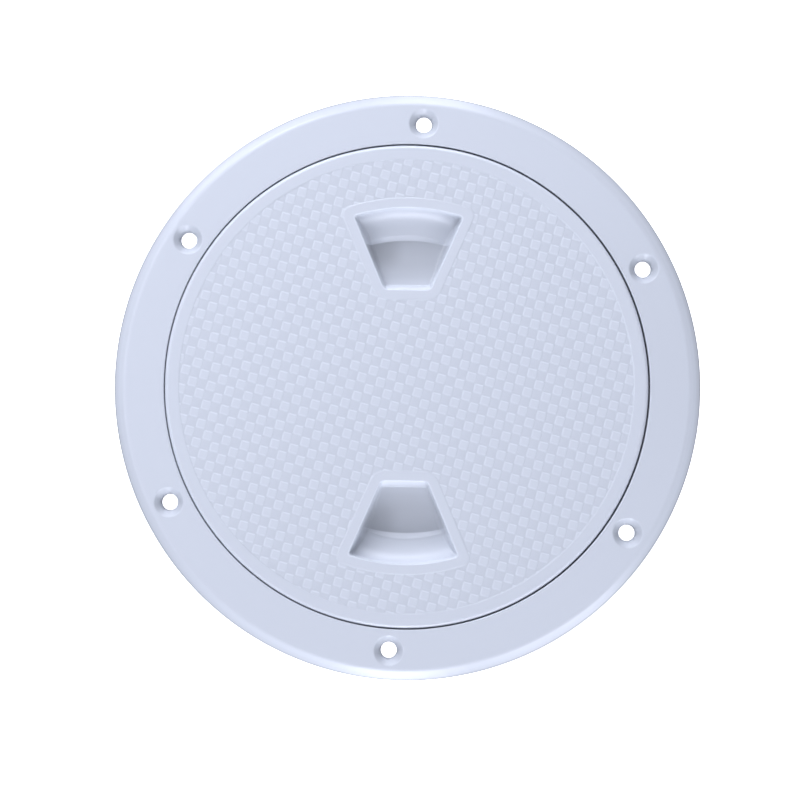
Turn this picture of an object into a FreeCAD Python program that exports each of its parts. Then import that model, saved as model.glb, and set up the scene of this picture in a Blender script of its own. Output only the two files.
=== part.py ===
import FreeCAD, Part
import math
import os

from FreeCAD import Vector

os.makedirs("parts", exist_ok=True)

# Round screw-in deck inspection plate, all sizes in millimetres.
# Origin: centre of the deck plane, under the flange.  +Z points up, out of the
# deck.  +Y runs through one of the six screw holes.

# ---- frame ring: flange, cover well and threaded collar -------------------
FLANGE_R = 102.0          # outside of the flange
FLANGE_T = 4.2            # flange thickness, deck plane to flat top
FLAT_R = 97.3             # flat top ends, the sloping edge begins
BEVEL = 37.0              # slope of the edge, degrees
BEVEL_TOP_R = 3.0         # rounding between flat and slope
BEVEL_LIP_R = 1.0         # rounding between slope and upright lip
WELL_R = 84.35            # wall of the well that the cover's rim sits in
WELL_EDGE = 0.45          # rounding of the well's mouth
LEDGE_Z = -0.6            # seat for the cover and its seal
SHOULDER_R = 86.4         # outside of the well, fits the deck cut-out
SHOULDER_Z = -3.0
COLLAR_OUT_R = 82.4
COLLAR_IN_R = 79.7        # plain wall between the thread turns
COLLAR_Z = -19.0          # bottom rim of the collar

SCREW_PCD = 183.5
SCREW_N = 6
SCREW_R = 2.75            # clearance hole
SINK_R = 5.15             # countersink at the flange's top face
SINK_EDGE = 0.8           # rounding of the countersink's rim

# ---- screw thread, right-handed, coarse moulded form ------------------------
PITCH = 4.0
TURNS = 1.5
RIDGE_BASE = 2.0          # ridge width at its root
RIDGE_CREST = 1.0         # ridge width at its crest
IN_CREST_R = 77.8         # crest of the collar's ridge
IN_START_Z = -10.5        # centre of the collar's ridge at its lower end
OUT_CREST_R = 79.3        # crest of the cover's ridge
OUT_START_Z = -8.5        # centre of the cover's ridge at its lower end
THREAD_ANGLE = 40.0       # where both ridges start, seen from above

# ---- cover ------------------------------------------------------------------
COVER_TURN = 2.9          # rest angle of the cover in the frame, about +Z
RIM_R = 83.95
COVER_TOP = 4.4
RIM_EDGE = 1.5            # rounding of the cover's top edge
RIM_UNDER = 1.7           # underside of the rim, over the seal
STEP_R = 81.0             # locating step inside the seal
STEP_Z = LEDGE_Z + 0.05
SKIRT_R = 77.4            # root of the cover's thread
SKIRT_IN_R = 75.0
SKIRT_Z = -10.0
PLATE_UNDER = 1.6         # underside of the top plate
FIELD_R = 78.9            # tread field inside the smooth border
FIELD_DEPTH = 0.25        # tread field lies this far below the border

# finger recesses, one on each side, wide end outwards
REC_IN_Y = 33.0           # straight inner edge
REC_IN_HALF = 8.15        # half its width
REC_SLOPE = 0.432         # half width gained for each mm outwards
REC_OUT_R = 62.1          # outer edge, an arc about the cover's centre
REC_CORNER = 1.2
REC_DRAFT = 0.22          # draft of the side walls, mm for each mm of depth
REC_IN_DRAFT = 0.50       # draft of the inner wall
REC_D_IN = 3.6            # floor depth at the inner end
REC_D_OUT = 7.6           # floor depth where the outer wall rises
REC_FOOT_R = 51.2         # floor ends, foot of the outer wall
REC_FOOT_TOP_R = 53.2     # top of the short foot slope
REC_FOOT_TOP_D = 6.4
REC_WALL = 2.2            # wall thickness of the finger cups
ISLAND = 3.3              # smooth margin round each recess
ISLAND_R = 3.0            # corner rounding of the margin

# ---- seal -------------------------------------------------------------------
SEAL_IN_R = 81.3
SEAL_OUT_R = 84.05
SEAL_LOW = LEDGE_Z + 0.05
SEAL_HIGH = RIM_UNDER - 0.05


def P(r, z):
    return Vector(r, 0, z)


def line(a, b):
    return Part.LineSegment(a, b).toShape()


def arc3(a, m, b):
    return Part.Arc(a, m, b).toShape()


def round_corner(a, m_dir, centre, radius, b):
    """Arc of a circle from a to b, bulging from centre towards m_dir."""
    d = Vector(m_dir)
    d.normalize()
    return arc3(a, centre + d * radius, b)


def turned(edges):
    face = Part.Face(Part.Wire(edges))
    return face.revolve(Vector(0, 0, 0), Vector(0, 0, 1), 360)


# ---- frame ring ---------------------------------------------------------------
def sloping_edge():
    """Flat top to upright lip: rounding, slope, rounding.  Returns the edges
    and the height where the lip begins."""
    t = math.radians(BEVEL)
    h = math.radians(BEVEL / 2)
    g = math.radians((BEVEL + 90) / 2)
    r1 = FLAT_R + BEVEL_TOP_R * math.sin(t)
    z1 = FLANGE_T - BEVEL_TOP_R * (1 - math.cos(t))
    r2 = FLANGE_R - BEVEL_LIP_R * (1 - math.sin(t))
    z2 = z1 - (r2 - r1) * math.tan(t)
    lip = z2 - BEVEL_LIP_R * math.cos(t)
    edges = [
        arc3(P(FLAT_R, FLANGE_T),
             P(FLAT_R + BEVEL_TOP_R * math.sin(h),
               FLANGE_T - BEVEL_TOP_R * (1 - math.cos(h))),
             P(r1, z1)),
        line(P(r1, z1), P(r2, z2)),
        arc3(P(r2, z2),
             P(FLANGE_R - BEVEL_LIP_R * (1 - math.sin(g)),
               lip + BEVEL_LIP_R * math.cos(g)),
             P(FLANGE_R, lip)),
    ]
    return edges, lip


def frame_blank():
    we = WELL_EDGE
    top = FLANGE_T
    slope, lip = sloping_edge()
    edges = [
        arc3(P(WELL_R, top - we),
             P(WELL_R + we * (1 - math.sqrt(0.5)), top - we * (1 - math.sqrt(0.5))),
             P(WELL_R + we, top)),
        line(P(WELL_R + we, top), P(FLAT_R, top)),
        *slope,
        line(P(FLANGE_R, lip), P(FLANGE_R, 0.2)),
        line(P(FLANGE_R, 0.2), P(FLANGE_R - 0.2, 0)),
        line(P(FLANGE_R - 0.2, 0), P(SHOULDER_R, 0)),
        line(P(SHOULDER_R, 0), P(SHOULDER_R, SHOULDER_Z + 0.8)),
        line(P(SHOULDER_R, SHOULDER_Z + 0.8), P(SHOULDER_R - 0.8, SHOULDER_Z)),
        line(P(SHOULDER_R - 0.8, SHOULDER_Z), P(COLLAR_OUT_R + 0.8, SHOULDER_Z)),
        arc3(P(COLLAR_OUT_R + 0.8, SHOULDER_Z),
             P(COLLAR_OUT_R + 0.8 * (1 - math.sqrt(0.5)),
               SHOULDER_Z - 0.8 * (1 - math.sqrt(0.5))),
             P(COLLAR_OUT_R, SHOULDER_Z - 0.8)),
        line(P(COLLAR_OUT_R, SHOULDER_Z - 0.8), P(COLLAR_OUT_R, COLLAR_Z + 0.6)),
        line(P(COLLAR_OUT_R, COLLAR_Z + 0.6), P(COLLAR_OUT_R - 0.6, COLLAR_Z)),
        line(P(COLLAR_OUT_R - 0.6, COLLAR_Z), P(COLLAR_IN_R + 0.5, COLLAR_Z)),
        line(P(COLLAR_IN_R + 0.5, COLLAR_Z), P(COLLAR_IN_R, COLLAR_Z + 0.5)),
        line(P(COLLAR_IN_R, COLLAR_Z + 0.5), P(COLLAR_IN_R, LEDGE_Z - 0.4)),
        line(P(COLLAR_IN_R, LEDGE_Z - 0.4), P(COLLAR_IN_R + 0.4, LEDGE_Z)),
        line(P(COLLAR_IN_R + 0.4, LEDGE_Z), P(WELL_R, LEDGE_Z)),
        line(P(WELL_R, LEDGE_Z), P(WELL_R, top - we)),
    ]
    return turned(edges)


def screw_hole_tool():
    """Through hole, 90 degree countersink and rounded rim, on the Z axis."""
    top = FLANGE_T
    t = SINK_EDGE * math.tan(math.radians(22.5))
    k = t * math.sqrt(0.5)
    cone_foot = top - (SINK_R - SCREW_R)
    a = P(SINK_R - k, top - k)
    b = P(SINK_R + t, top)
    centre = P(SINK_R + t, top - SINK_EDGE)
    edges = [
        line(P(0, -1), P(SCREW_R, -1)),
        line(P(SCREW_R, -1), P(SCREW_R, cone_foot)),
        line(P(SCREW_R, cone_foot), a),
        round_corner(a, P(SINK_R, top) - centre, centre, SINK_EDGE, b),
        line(b, P(SINK_R + t, top + 1)),
        line(P(SINK_R + t, top + 1), P(0, top + 1)),
        line(P(0, top + 1), P(0, -1)),
    ]
    return turned(edges)


def ridge(root_r, crest_r, start_z, inward):
    """One helical thread ridge, sunk 0.6 mm into the wall it stands on."""
    sink = 0.6 if inward else -0.6
    h = abs(crest_r - root_r)
    grow = 0.5 * (RIDGE_BASE - RIDGE_CREST) / h * 0.6
    profile = Part.makePolygon([
        P(root_r + sink, -RIDGE_BASE / 2 - grow),
        P(crest_r, -RIDGE_CREST / 2),
        P(crest_r, RIDGE_CREST / 2),
        P(root_r + sink, RIDGE_BASE / 2 + grow),
        P(root_r + sink, -RIDGE_BASE / 2 - grow),
    ])
    path = Part.makeHelix(PITCH, PITCH * TURNS, 0.5 * (root_r + crest_r))
    solid = Part.Wire(path.Edges).makePipeShell([profile], True, True)
    solid.rotate(Vector(0, 0, 0), Vector(0, 0, 1), THREAD_ANGLE)
    solid.translate(Vector(0, 0, start_z))
    return solid


frame_ring = frame_blank()
hole = screw_hole_tool()
for i in range(SCREW_N):
    h = hole.copy()
    h.translate(Vector(0, SCREW_PCD / 2, 0))
    h.rotate(Vector(0, 0, 0), Vector(0, 0, 1), 360.0 / SCREW_N * i)
    frame_ring = frame_ring.cut(h)
frame_ring = frame_ring.fuse(ridge(COLLAR_IN_R, IN_CREST_R, IN_START_Z, True))
frame_ring = frame_ring.removeSplitter()


# ---- cover --------------------------------------------------------------------
def cover_blank():
    re = RIM_EDGE
    s = 1 - math.sqrt(0.5)
    edges = [
        line(P(0, COVER_TOP), P(RIM_R - re, COVER_TOP)),
        arc3(P(RIM_R - re, COVER_TOP), P(RIM_R - re * s, COVER_TOP - re * s),
             P(RIM_R, COVER_TOP - re)),
        line(P(RIM_R, COVER_TOP - re), P(RIM_R, RIM_UNDER + 0.3)),
        line(P(RIM_R, RIM_UNDER + 0.3), P(RIM_R - 0.3, RIM_UNDER)),
        line(P(RIM_R - 0.3, RIM_UNDER), P(STEP_R, RIM_UNDER)),
        line(P(STEP_R, RIM_UNDER), P(STEP_R, STEP_Z + 0.2)),
        line(P(STEP_R, STEP_Z + 0.2), P(STEP_R - 0.2, STEP_Z)),
        line(P(STEP_R - 0.2, STEP_Z), P(SKIRT_R, STEP_Z)),
        line(P(SKIRT_R, STEP_Z), P(SKIRT_R, SKIRT_Z + 0.5)),
        line(P(SKIRT_R, SKIRT_Z + 0.5), P(SKIRT_R - 0.5, SKIRT_Z)),
        line(P(SKIRT_R - 0.5, SKIRT_Z), P(SKIRT_IN_R, SKIRT_Z)),
        line(P(SKIRT_IN_R, SKIRT_Z), P(SKIRT_IN_R, PLATE_UNDER - 1.5)),
        arc3(P(SKIRT_IN_R, PLATE_UNDER - 1.5),
             P(SKIRT_IN_R - 1.5 * s, PLATE_UNDER - 1.5 * s),
             P(SKIRT_IN_R - 1.5, PLATE_UNDER)),
        line(P(SKIRT_IN_R - 1.5, PLATE_UNDER), P(0, PLATE_UNDER)),
        line(P(0, PLATE_UNDER), P(0, COVER_TOP)),
    ]
    return turned(edges)


def recess_corners(grow):
    """Sharp corners of the recess outline, moved outwards by grow."""
    n = math.hypot(1.0, REC_SLOPE)
    y_in = REC_IN_Y - grow
    half0 = REC_IN_HALF + grow * n - REC_SLOPE * grow
    r_out = REC_OUT_R + grow
    # where the side line meets the outer arc
    a = 1 + REC_SLOPE ** 2
    k = half0 - REC_SLOPE * y_in
    b = 2 * REC_SLOPE * k
    c = k ** 2 - r_out ** 2
    y_out = (-b + math.sqrt(b * b - 4 * a * c)) / (2 * a)
    x_out = k + REC_SLOPE * y_out
    return y_in, half0, x_out, y_out, r_out


def recess_prism(grow, corner, z0, z1):
    y_in, x_in, x_out, y_out, r_out = recess_corners(grow)
    a, b = Vector(-x_in, y_in, z0), Vector(x_in, y_in, z0)
    c, d = Vector(x_out, y_out, z0), Vector(-x_out, y_out, z0)
    wire = Part.Wire([
        line(a, b), line(b, c),
        arc3(c, Vector(0, r_out, z0), d),
        line(d, a),
    ])
    solid = Part.Face(wire).extrude(Vector(0, 0, z1 - z0))
    if corner > 0:
        upright = [e for e in solid.Edges
                   if len(e.Vertexes) == 2
                   and abs(e.Vertexes[0].X - e.Vertexes[1].X) < 1e-6
                   and abs(e.Vertexes[0].Y - e.Vertexes[1].Y) < 1e-6]
        solid = solid.makeFillet(corner, upright)
    return solid


def drafted_prism(grow, corner, z_top, depth):
    """Recess outline at z_top, narrowing with the wall draft below it."""
    top = recess_prism(grow, corner, z_top, z_top + 1)
    low_face = [f for f in top.Faces
                if abs(f.CenterOfMass.z - z_top) < 1e-6][0]
    wire_top = low_face.OuterWire
    low = recess_prism(grow - REC_DRAFT * depth, max(0.3, corner - REC_DRAFT * depth),
                       z_top - depth, z_top)
    wire_low = [f for f in low.Faces
                if abs(f.CenterOfMass.z - (z_top - depth)) < 1e-6][0].OuterWire
    lower = Part.makeLoft([wire_top, wire_low], True, True)
    return lower


def floor_block(drop):
    """Everything under the sloping floor, drop mm lower than the floor."""
    z = COVER_TOP
    y0, y1 = 20.0, 70.0
    k = (REC_D_OUT - REC_D_IN) / (REC_FOOT_R - REC_IN_Y)

    def depth(y):
        return REC_D_IN + k * (y - REC_IN_Y) + drop

    face = Part.Face(Part.makePolygon([
        Vector(-30, y0, z - depth(y0)), Vector(-30, y1, z - depth(y1)),
        Vector(-30, y1, z - 40), Vector(-30, y0, z - 40),
        Vector(-30, y0, z - depth(y0))]))
    return face.extrude(Vector(60, 0, 0))


def outer_block(grow):
    """Material outside the foot slope and the hollow outer wall."""
    z = COVER_TOP
    a = REC_OUT_R - REC_FOOT_TOP_R
    b = REC_FOOT_TOP_D
    e = Part.Ellipse(P(REC_FOOT_TOP_R + a, z), P(REC_FOOT_TOP_R, z - b),
                     P(REC_FOOT_TOP_R, z))
    p0 = e.parameter(P(REC_FOOT_TOP_R + a, z))
    p1 = e.parameter(P(REC_FOOT_TOP_R, z - b))
    if p1 < p0:
        p0, p1 = p1, p0
    if p1 - p0 > math.pi:
        p0, p1 = p1, p0 + 2 * math.pi
    hollow = Part.ArcOfEllipse(e, p0, p1).toShape()
    k = (REC_D_OUT - REC_FOOT_TOP_D) / (REC_FOOT_TOP_R - REC_FOOT_R)
    r_low = REC_FOOT_R - 6.0
    z_low = z - REC_D_OUT - 6.0 * k
    edges = [
        hollow,
        line(P(REC_FOOT_TOP_R + a, z), P(REC_FOOT_TOP_R + a, z + 3)),
        line(P(REC_FOOT_TOP_R + a, z + 3), P(90, z + 3)),
        line(P(90, z + 3), P(90, z_low)),
        line(P(90, z_low), P(r_low, z_low)),
        line(P(r_low, z_low), P(REC_FOOT_TOP_R, z - b)),
    ]
    face = Part.Face(Part.Wire(Part.__sortEdges__(edges)))
    solid = face.revolve(Vector(0, 0, 0), Vector(0, 0, 1), 70)
    solid.rotate(Vector(0, 0, 0), Vector(0, 0, 1), 55)
    if grow:
        solid.translate(Vector(0, grow * 0.5, -grow))
    return solid


def inner_block(grow):
    """Material inside the sloping inner wall of a recess."""
    z, k = COVER_TOP, REC_IN_DRAFT
    y = REC_IN_Y - grow * math.hypot(1.0, k)
    face = Part.Face(Part.makePolygon([
        Vector(-30, y - 3 * k, z + 3), Vector(-30, y + 14 * k, z - 14),
        Vector(-30, 10, z - 14), Vector(-30, 10, z + 3),
        Vector(-30, y - 3 * k, z + 3)]))
    return face.extrude(Vector(60, 0, 0))


def recess_tool():
    body = drafted_prism(0.0, REC_CORNER, COVER_TOP, 12.0)
    mouth = recess_prism(0.0, REC_CORNER, COVER_TOP, COVER_TOP + 1)
    body = body.cut(floor_block(0.0)).cut(outer_block(0.0)).cut(inner_block(0.0))
    return body, mouth


def cup_blank():
    body = drafted_prism(REC_WALL, REC_CORNER + REC_WALL, PLATE_UNDER + 0.6, 12.0)
    return body.cut(floor_block(REC_WALL)).cut(outer_block(REC_WALL)).cut(inner_block(REC_WALL))


cover = cover_blank()

field = Part.makeCylinder(FIELD_R, 2.0, Vector(0, 0, COVER_TOP - FIELD_DEPTH))
for turn in (0, 180):
    island = recess_prism(ISLAND, ISLAND_R, COVER_TOP - FIELD_DEPTH - 0.5, COVER_TOP + 3)
    island.rotate(Vector(0, 0, 0), Vector(0, 0, 1), turn)
    field = field.cut(island)
cover = cover.cut(field)

for turn in (0, 180):
    cup = cup_blank()
    tool, mouth = recess_tool()
    for s in (cup, tool, mouth):
        s.rotate(Vector(0, 0, 0), Vector(0, 0, 1), turn)
    cover = cover.fuse(cup).cut(tool).cut(mouth)

cover = cover.fuse(ridge(SKIRT_R, OUT_CREST_R, OUT_START_Z, False))
cover = cover.removeSplitter()
cover.rotate(Vector(0, 0, 0), Vector(0, 0, 1), COVER_TURN)


# ---- seal: rubber ring, squeezed a little flat between ledge and rim -----------
def seal_ring():
    w = SEAL_OUT_R - SEAL_IN_R
    h = SEAL_HIGH - SEAL_LOW
    zc = 0.5 * (SEAL_HIGH + SEAL_LOW)
    rc = 0.5 * (SEAL_OUT_R + SEAL_IN_R)
    f = 0.5 * (w - h) + 0.25
    edges = [
        line(P(rc - f, SEAL_LOW), P(rc + f, SEAL_LOW)),
        arc3(P(rc + f, SEAL_LOW), P(SEAL_OUT_R, zc), P(rc + f, SEAL_HIGH)),
        line(P(rc + f, SEAL_HIGH), P(rc - f, SEAL_HIGH)),
        arc3(P(rc - f, SEAL_HIGH), P(SEAL_IN_R, zc), P(rc - f, SEAL_LOW)),
    ]
    return turned(edges)


o_ring = seal_ring()

NODES = {"frame_ring": frame_ring, "cover": cover, "o_ring": o_ring}
for name, shape in NODES.items():
    solids = shape.Solids
    if len(solids) == 1:
        shape = solids[0]
    print(name, "solids", len(solids), "valid", shape.isValid(),
          "volume_cm3 %.2f" % (shape.Volume / 1000.0), "box",
          [round(v, 2) for v in (shape.BoundBox.XMin, shape.BoundBox.YMin,
                                 shape.BoundBox.ZMin, shape.BoundBox.XMax,
                                 shape.BoundBox.YMax, shape.BoundBox.ZMax)])
    shape.exportStep("parts/%s.step" % name)
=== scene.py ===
import math

import bpy
import numpy as np
from mathutils import Matrix, Vector
from mathutils.geometry import delaunay_2d_cdt


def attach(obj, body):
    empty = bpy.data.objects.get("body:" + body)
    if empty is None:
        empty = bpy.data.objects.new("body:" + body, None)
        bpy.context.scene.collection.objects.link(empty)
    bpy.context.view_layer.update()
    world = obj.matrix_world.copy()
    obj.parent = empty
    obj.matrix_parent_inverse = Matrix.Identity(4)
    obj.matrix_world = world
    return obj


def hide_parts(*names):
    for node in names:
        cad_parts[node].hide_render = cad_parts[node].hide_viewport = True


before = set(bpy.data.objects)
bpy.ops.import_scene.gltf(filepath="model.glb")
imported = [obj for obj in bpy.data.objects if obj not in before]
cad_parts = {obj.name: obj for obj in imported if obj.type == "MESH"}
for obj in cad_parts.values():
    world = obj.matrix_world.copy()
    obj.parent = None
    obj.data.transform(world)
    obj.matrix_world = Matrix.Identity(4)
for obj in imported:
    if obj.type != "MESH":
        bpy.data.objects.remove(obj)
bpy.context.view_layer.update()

# Round screw-in deck inspection plate.  Sizes below are in millimetres and are
# turned into metres when a mesh is made.
MM = 0.001
SEG = 384                 # segments round the plate

# frame ring
FLANGE_R, FLANGE_T, FLAT_R = 102.0, 4.2, 97.3
BEVEL, BEVEL_TOP_R, BEVEL_LIP_R = 37.0, 3.0, 1.0   # slope of the flange's edge and its roundings
WELL_R, WELL_EDGE, LEDGE_Z = 84.35, 0.45, -0.6
SHOULDER_R, SHOULDER_Z = 86.4, -3.0
COLLAR_OUT_R, COLLAR_IN_R, COLLAR_Z = 82.4, 79.7, -19.0
SCREW_PCD, SCREW_N, SCREW_R, SINK_R, SINK_EDGE = 183.5, 6, 2.75, 5.15, 0.8
SINK_FOOT_R = 2.95        # foot of the countersink; the hole tapers from there

# thread
PITCH, TURNS, RIDGE_BASE, RIDGE_CREST = 4.0, 1.5, 2.0, 1.0
IN_CREST_R, IN_START_Z = 77.8, -10.5
OUT_CREST_R, OUT_START_Z = 79.3, -8.5
THREAD_ANGLE = 40.0

# cover
COVER_TURN = 2.9
COVER_X, COVER_Y = -0.15, -0.02     # the cover sits a little to one side in the well
RIM_R, COVER_TOP, RIM_EDGE, RIM_UNDER = 83.95, 4.4, 1.5, 1.7
STEP_R, STEP_Z = 81.0, LEDGE_Z + 0.05
SKIRT_R, SKIRT_IN_R, SKIRT_Z, PLATE_UNDER = 77.4, 75.0, -10.0, 1.6
FIELD_R, FIELD_DEPTH, FIELD_EDGE = 78.9, 0.25, 0.80
REC_IN_Y, REC_IN_HALF, REC_SLOPE, REC_OUT_R = 33.0, 8.15, 0.432, 62.1
REC_DRAFT, REC_IN_DRAFT = 0.22, 0.50
REC_D_IN, REC_D_OUT = 3.6, 7.6
REC_FOOT_R, REC_FOOT_TOP_R, REC_FOOT_TOP_D = 51.2, 53.2, 6.4
REC_WALL = 2.2
REC_FILLET = 0.8          # between the side walls and the floor, share of the depth
REC_EDGE = 0.5            # rounding of the recess's mouth
ISLAND, ISLAND_R = 3.3, 3.0

# tread: raised squares in a chequer, standing in the recessed field
CELL_U, CELL_V = 3.334, 3.350
TREAD_ANGLE_U, TREAD_ANGLE_V = -13.737, -14.311   # of the rows, in the cover's own frame
TREAD_U, TREAD_V = -0.400, 0.609   # lattice place of the cover's centre
PAD_HALF = 1.61           # half a square, at half its height
PAD_CORNER = 0.50
PAD_H = 0.11
PAD_SLOPE = 0.56          # plan width of a square's rounded flank


# ---- helpers: smooth joins ------------------------------------------------------
def smax(a, b, k):
    h = np.maximum(k - np.abs(a - b), 0.0) / k
    return np.maximum(a, b) + h * h * k * 0.25


def smin(a, b, k):
    return -smax(-a, -b, k)


def step01(t):
    t = np.clip(t, 0.0, 1.0)
    return t * t * (3 - 2 * t)


# ---- helpers: meshes ---------------------------------------------------------------
class Sheet:
    """Vertices, faces and normals gathered piece by piece."""

    def __init__(self):
        self.co, self.no, self.faces, self.n = [], [], [], 0

    def add(self, co, no, faces, flip=False):
        base = self.n
        self.co.append(np.asarray(co, float))
        no = np.asarray(no, float)
        self.no.append(-no if flip else no)
        for f in faces:
            f = [base + i for i in f]
            self.faces.append(f[::-1] if flip else f)
        self.n += len(co)

    def build(self, name, turn=0.0, shift=(0.0, 0.0)):
        co = np.concatenate(self.co) * MM
        no = np.concatenate(self.no)
        if turn:
            c, s = math.cos(math.radians(turn)), math.sin(math.radians(turn))
            rot = np.array([[c, -s, 0], [s, c, 0], [0, 0, 1]])
            co, no = co @ rot.T, no @ rot.T
        co[:, 0] += shift[0] * MM
        co[:, 1] += shift[1] * MM
        # loops keep their own normal; joined vertices are shared
        key = np.round(co / 2e-7).astype(np.int64)
        _, first, inv = np.unique(key, axis=0, return_index=True, return_inverse=True)
        inv = inv.ravel()
        verts = co[first]
        faces, loops = [], []
        for f in self.faces:
            g = [int(inv[i]) for i in f]
            h = [(g[i], f[i]) for i in range(len(g)) if g[i] != g[i - 1]]
            if len(h) >= 3 and len(set(a for a, _ in h)) == len(h):
                faces.append([a for a, _ in h])
                loops.extend(b for _, b in h)
        me = bpy.data.meshes.new(name)
        me.from_pydata([tuple(v) for v in verts], [], faces)
        me.polygons.foreach_set("use_smooth", [True] * len(me.polygons))
        ln = no[loops]
        ln /= np.maximum(np.linalg.norm(ln, axis=1, keepdims=True), 1e-9)
        me.normals_split_custom_set([tuple(v) for v in ln])
        me.update()
        ob = bpy.data.objects.new(name, me)
        bpy.context.scene.collection.objects.link(ob)
        return ob


def turn_profile(sheet, pts, normals, seg=SEG):
    """Surface of revolution about Z from (r, z) points, one outward normal a point."""
    pts = np.asarray(pts, float)
    normals = np.asarray(normals, float)
    th = 2 * np.pi * np.arange(seg) / seg
    c, s = np.cos(th), np.sin(th)
    co = np.stack([pts[:, 0, None] * c, pts[:, 0, None] * s,
                   np.repeat(pts[:, 1, None], seg, 1)], -1)
    no = np.stack([normals[:, 0, None] * c, normals[:, 0, None] * s,
                   np.repeat(normals[:, 1, None], seg, 1)], -1)
    faces = []
    for i in range(len(pts) - 1):
        d = pts[i + 1] - pts[i]
        lean = normals[i] + normals[i + 1]
        same = d[1] * lean[0] - d[0] * lean[1] > 0
        for j in range(seg):
            k = (j + 1) % seg
            f = [i * seg + j, i * seg + k, (i + 1) * seg + k, (i + 1) * seg + j]
            faces.append(f if same else f[::-1])
    sheet.add(co.reshape(-1, 3), no.reshape(-1, 3), faces)


def ring_xy(r, n=SEG, cx=0.0, cy=0.0, turn=0.0):
    th = 2 * np.pi * np.arange(n) / n + turn
    return np.stack([cx + r * np.cos(th), cy + r * np.sin(th)], 1)


def relief(sheet, loops, lines, points, height, keep, flip=False):
    """Triangulates closed loops, open lines and loose points in plan and lifts
    them to height(x, y); keep(x, y) says which triangles belong."""
    xy, edges = [], []
    base = 0
    for lp in loops:
        n = len(lp)
        xy.append(lp)
        edges += [(base + i, base + (i + 1) % n) for i in range(n)]
        base += n
    for ln in lines:
        n = len(ln)
        xy.append(ln)
        edges += [(base + i, base + i + 1) for i in range(n - 1)]
        base += n
    if len(points):
        xy.append(points)
    xy = np.concatenate(xy)
    out = delaunay_2d_cdt([Vector(p) for p in xy], edges, [], 0, 1e-5)
    co = np.array([[v.x, v.y] for v in out[0]])
    tri = np.array([list(f) for f in out[2]])
    mid = co[tri].mean(1)
    tri = tri[keep(mid[:, 0], mid[:, 1])]
    x, y = co[:, 0], co[:, 1]
    z = height(x, y)
    e = 0.012
    gx = (height(x + e, y) - height(x - e, y)) / (2 * e)
    gy = (height(x, y + e) - height(x, y - e)) / (2 * e)
    no = np.stack([-gx, -gy, np.ones_like(gx)], 1)
    no /= np.linalg.norm(no, axis=1, keepdims=True)
    a = co[tri[:, 1]] - co[tri[:, 0]]
    b = co[tri[:, 2]] - co[tri[:, 0]]
    area = a[:, 0] * b[:, 1] - a[:, 1] * b[:, 0]
    tri[area < 0] = tri[area < 0][:, ::-1]
    tri = tri[np.abs(area) > 1e-9]
    sheet.add(np.column_stack([x, y, z]), no, tri.tolist(), flip)


def helix_ridge(sheet, root_r, crest_r, start_z, taper=14.0, step=1.5):
    """Coarse thread ridge on a round wall, running out softly at both ends."""
    total = 360.0 * TURNS
    n = int(total / step)
    out = 1.0 if crest_r > root_r else -1.0
    ring = []
    for i in range(n + 1):
        a = total * i / n
        grow = min(1.0, a / taper, (total - a) / taper)
        grow = max(0.02, float(step01(grow)))
        h = abs(crest_r - root_r) * grow
        z = start_z + PITCH * a / 360.0
        t = math.radians(a + THREAD_ANGLE)
        hb, hc, rd = RIDGE_BASE / 2, RIDGE_CREST / 2, 0.22
        sec = [(-0.3, -hb - 0.05), (0.0, -hb), (h - rd, -hc - rd * 0.25),
               (h - rd * 0.3, -hc + rd * 0.05), (h, -hc + rd),
               (h, hc - rd), (h - rd * 0.3, hc - rd * 0.05),
               (h - rd, hc + rd * 0.25), (0.0, hb), (-0.3, hb + 0.05)]
        ring.append([((root_r + out * u) * math.cos(t),
                      (root_r + out * u) * math.sin(t), z + w) for u, w in sec])
    ring = np.array(ring)
    m = ring.shape[1]
    faces, co, no = [], [], []
    for i in range(n):
        for j in range(m - 1):
            quad = [ring[i, j], ring[i + 1, j], ring[i + 1, j + 1], ring[i, j + 1]]
            q = np.array(quad)
            nn = np.cross(q[2] - q[0], q[3] - q[1])
            ln = np.linalg.norm(nn)
            if ln < 1e-9:
                continue
            nn /= ln
            k = len(co)
            co += quad
            no += [nn] * 4
            faces.append([k, k + 1, k + 2, k + 3])
    for i, back in ((0, True), (n, False)):
        k = len(co)
        pts = list(ring[i])
        tang = np.array([-math.sin(0), 0, 0])
        t = math.radians((0 if back else total) + THREAD_ANGLE)
        tang = np.array([-math.sin(t), math.cos(t), 0]) * (-1 if back else 1)
        co += pts
        no += [tang] * m
        faces.append([k + j for j in (range(m) if back else range(m - 1, -1, -1))])
    for i in range(n):      # foot of the ridge, inside the wall
        quad = [ring[i, 0], ring[i, m - 1], ring[i + 1, m - 1], ring[i + 1, 0]]
        k = len(co)
        co += quad
        no += [np.array([-quad[0][0] * out, -quad[0][1] * out, 0]) / root_r] * 4
        faces.append([k, k + 1, k + 2, k + 3])
    sheet.add(np.array(co), np.array(no), faces, flip=out > 0)


# ---- frame ring -----------------------------------------------------------------------
HOLES = [(SCREW_PCD / 2 * math.cos(math.radians(90 + 60 * i)),
          SCREW_PCD / 2 * math.sin(math.radians(90 + 60 * i))) for i in range(SCREW_N)]


def hole_distance(x, y):
    d = np.full(np.shape(x), 1e3)
    for hx, hy in HOLES:
        d = np.minimum(d, np.hypot(x - hx, y - hy))
    return d


def flange_height(x, y):
    r = np.hypot(x, y)
    top = np.full(np.shape(x), FLANGE_T)
    # rounded mouth of the well
    v = np.clip((WELL_R + WELL_EDGE - r) / WELL_EDGE, 0, 1)
    top = np.where(r < WELL_R + WELL_EDGE,
                   FLANGE_T - WELL_EDGE * (1 - np.sqrt(1 - v * v)), top)
    # countersinks with rounded rims
    d = hole_distance(x, y)
    cone = FLANGE_T - (SINK_R - d)
    sink = smin(np.full(np.shape(x), FLANGE_T), cone, 0.38)
    return np.where(d < 7.0, np.minimum(top, sink), top)


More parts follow.
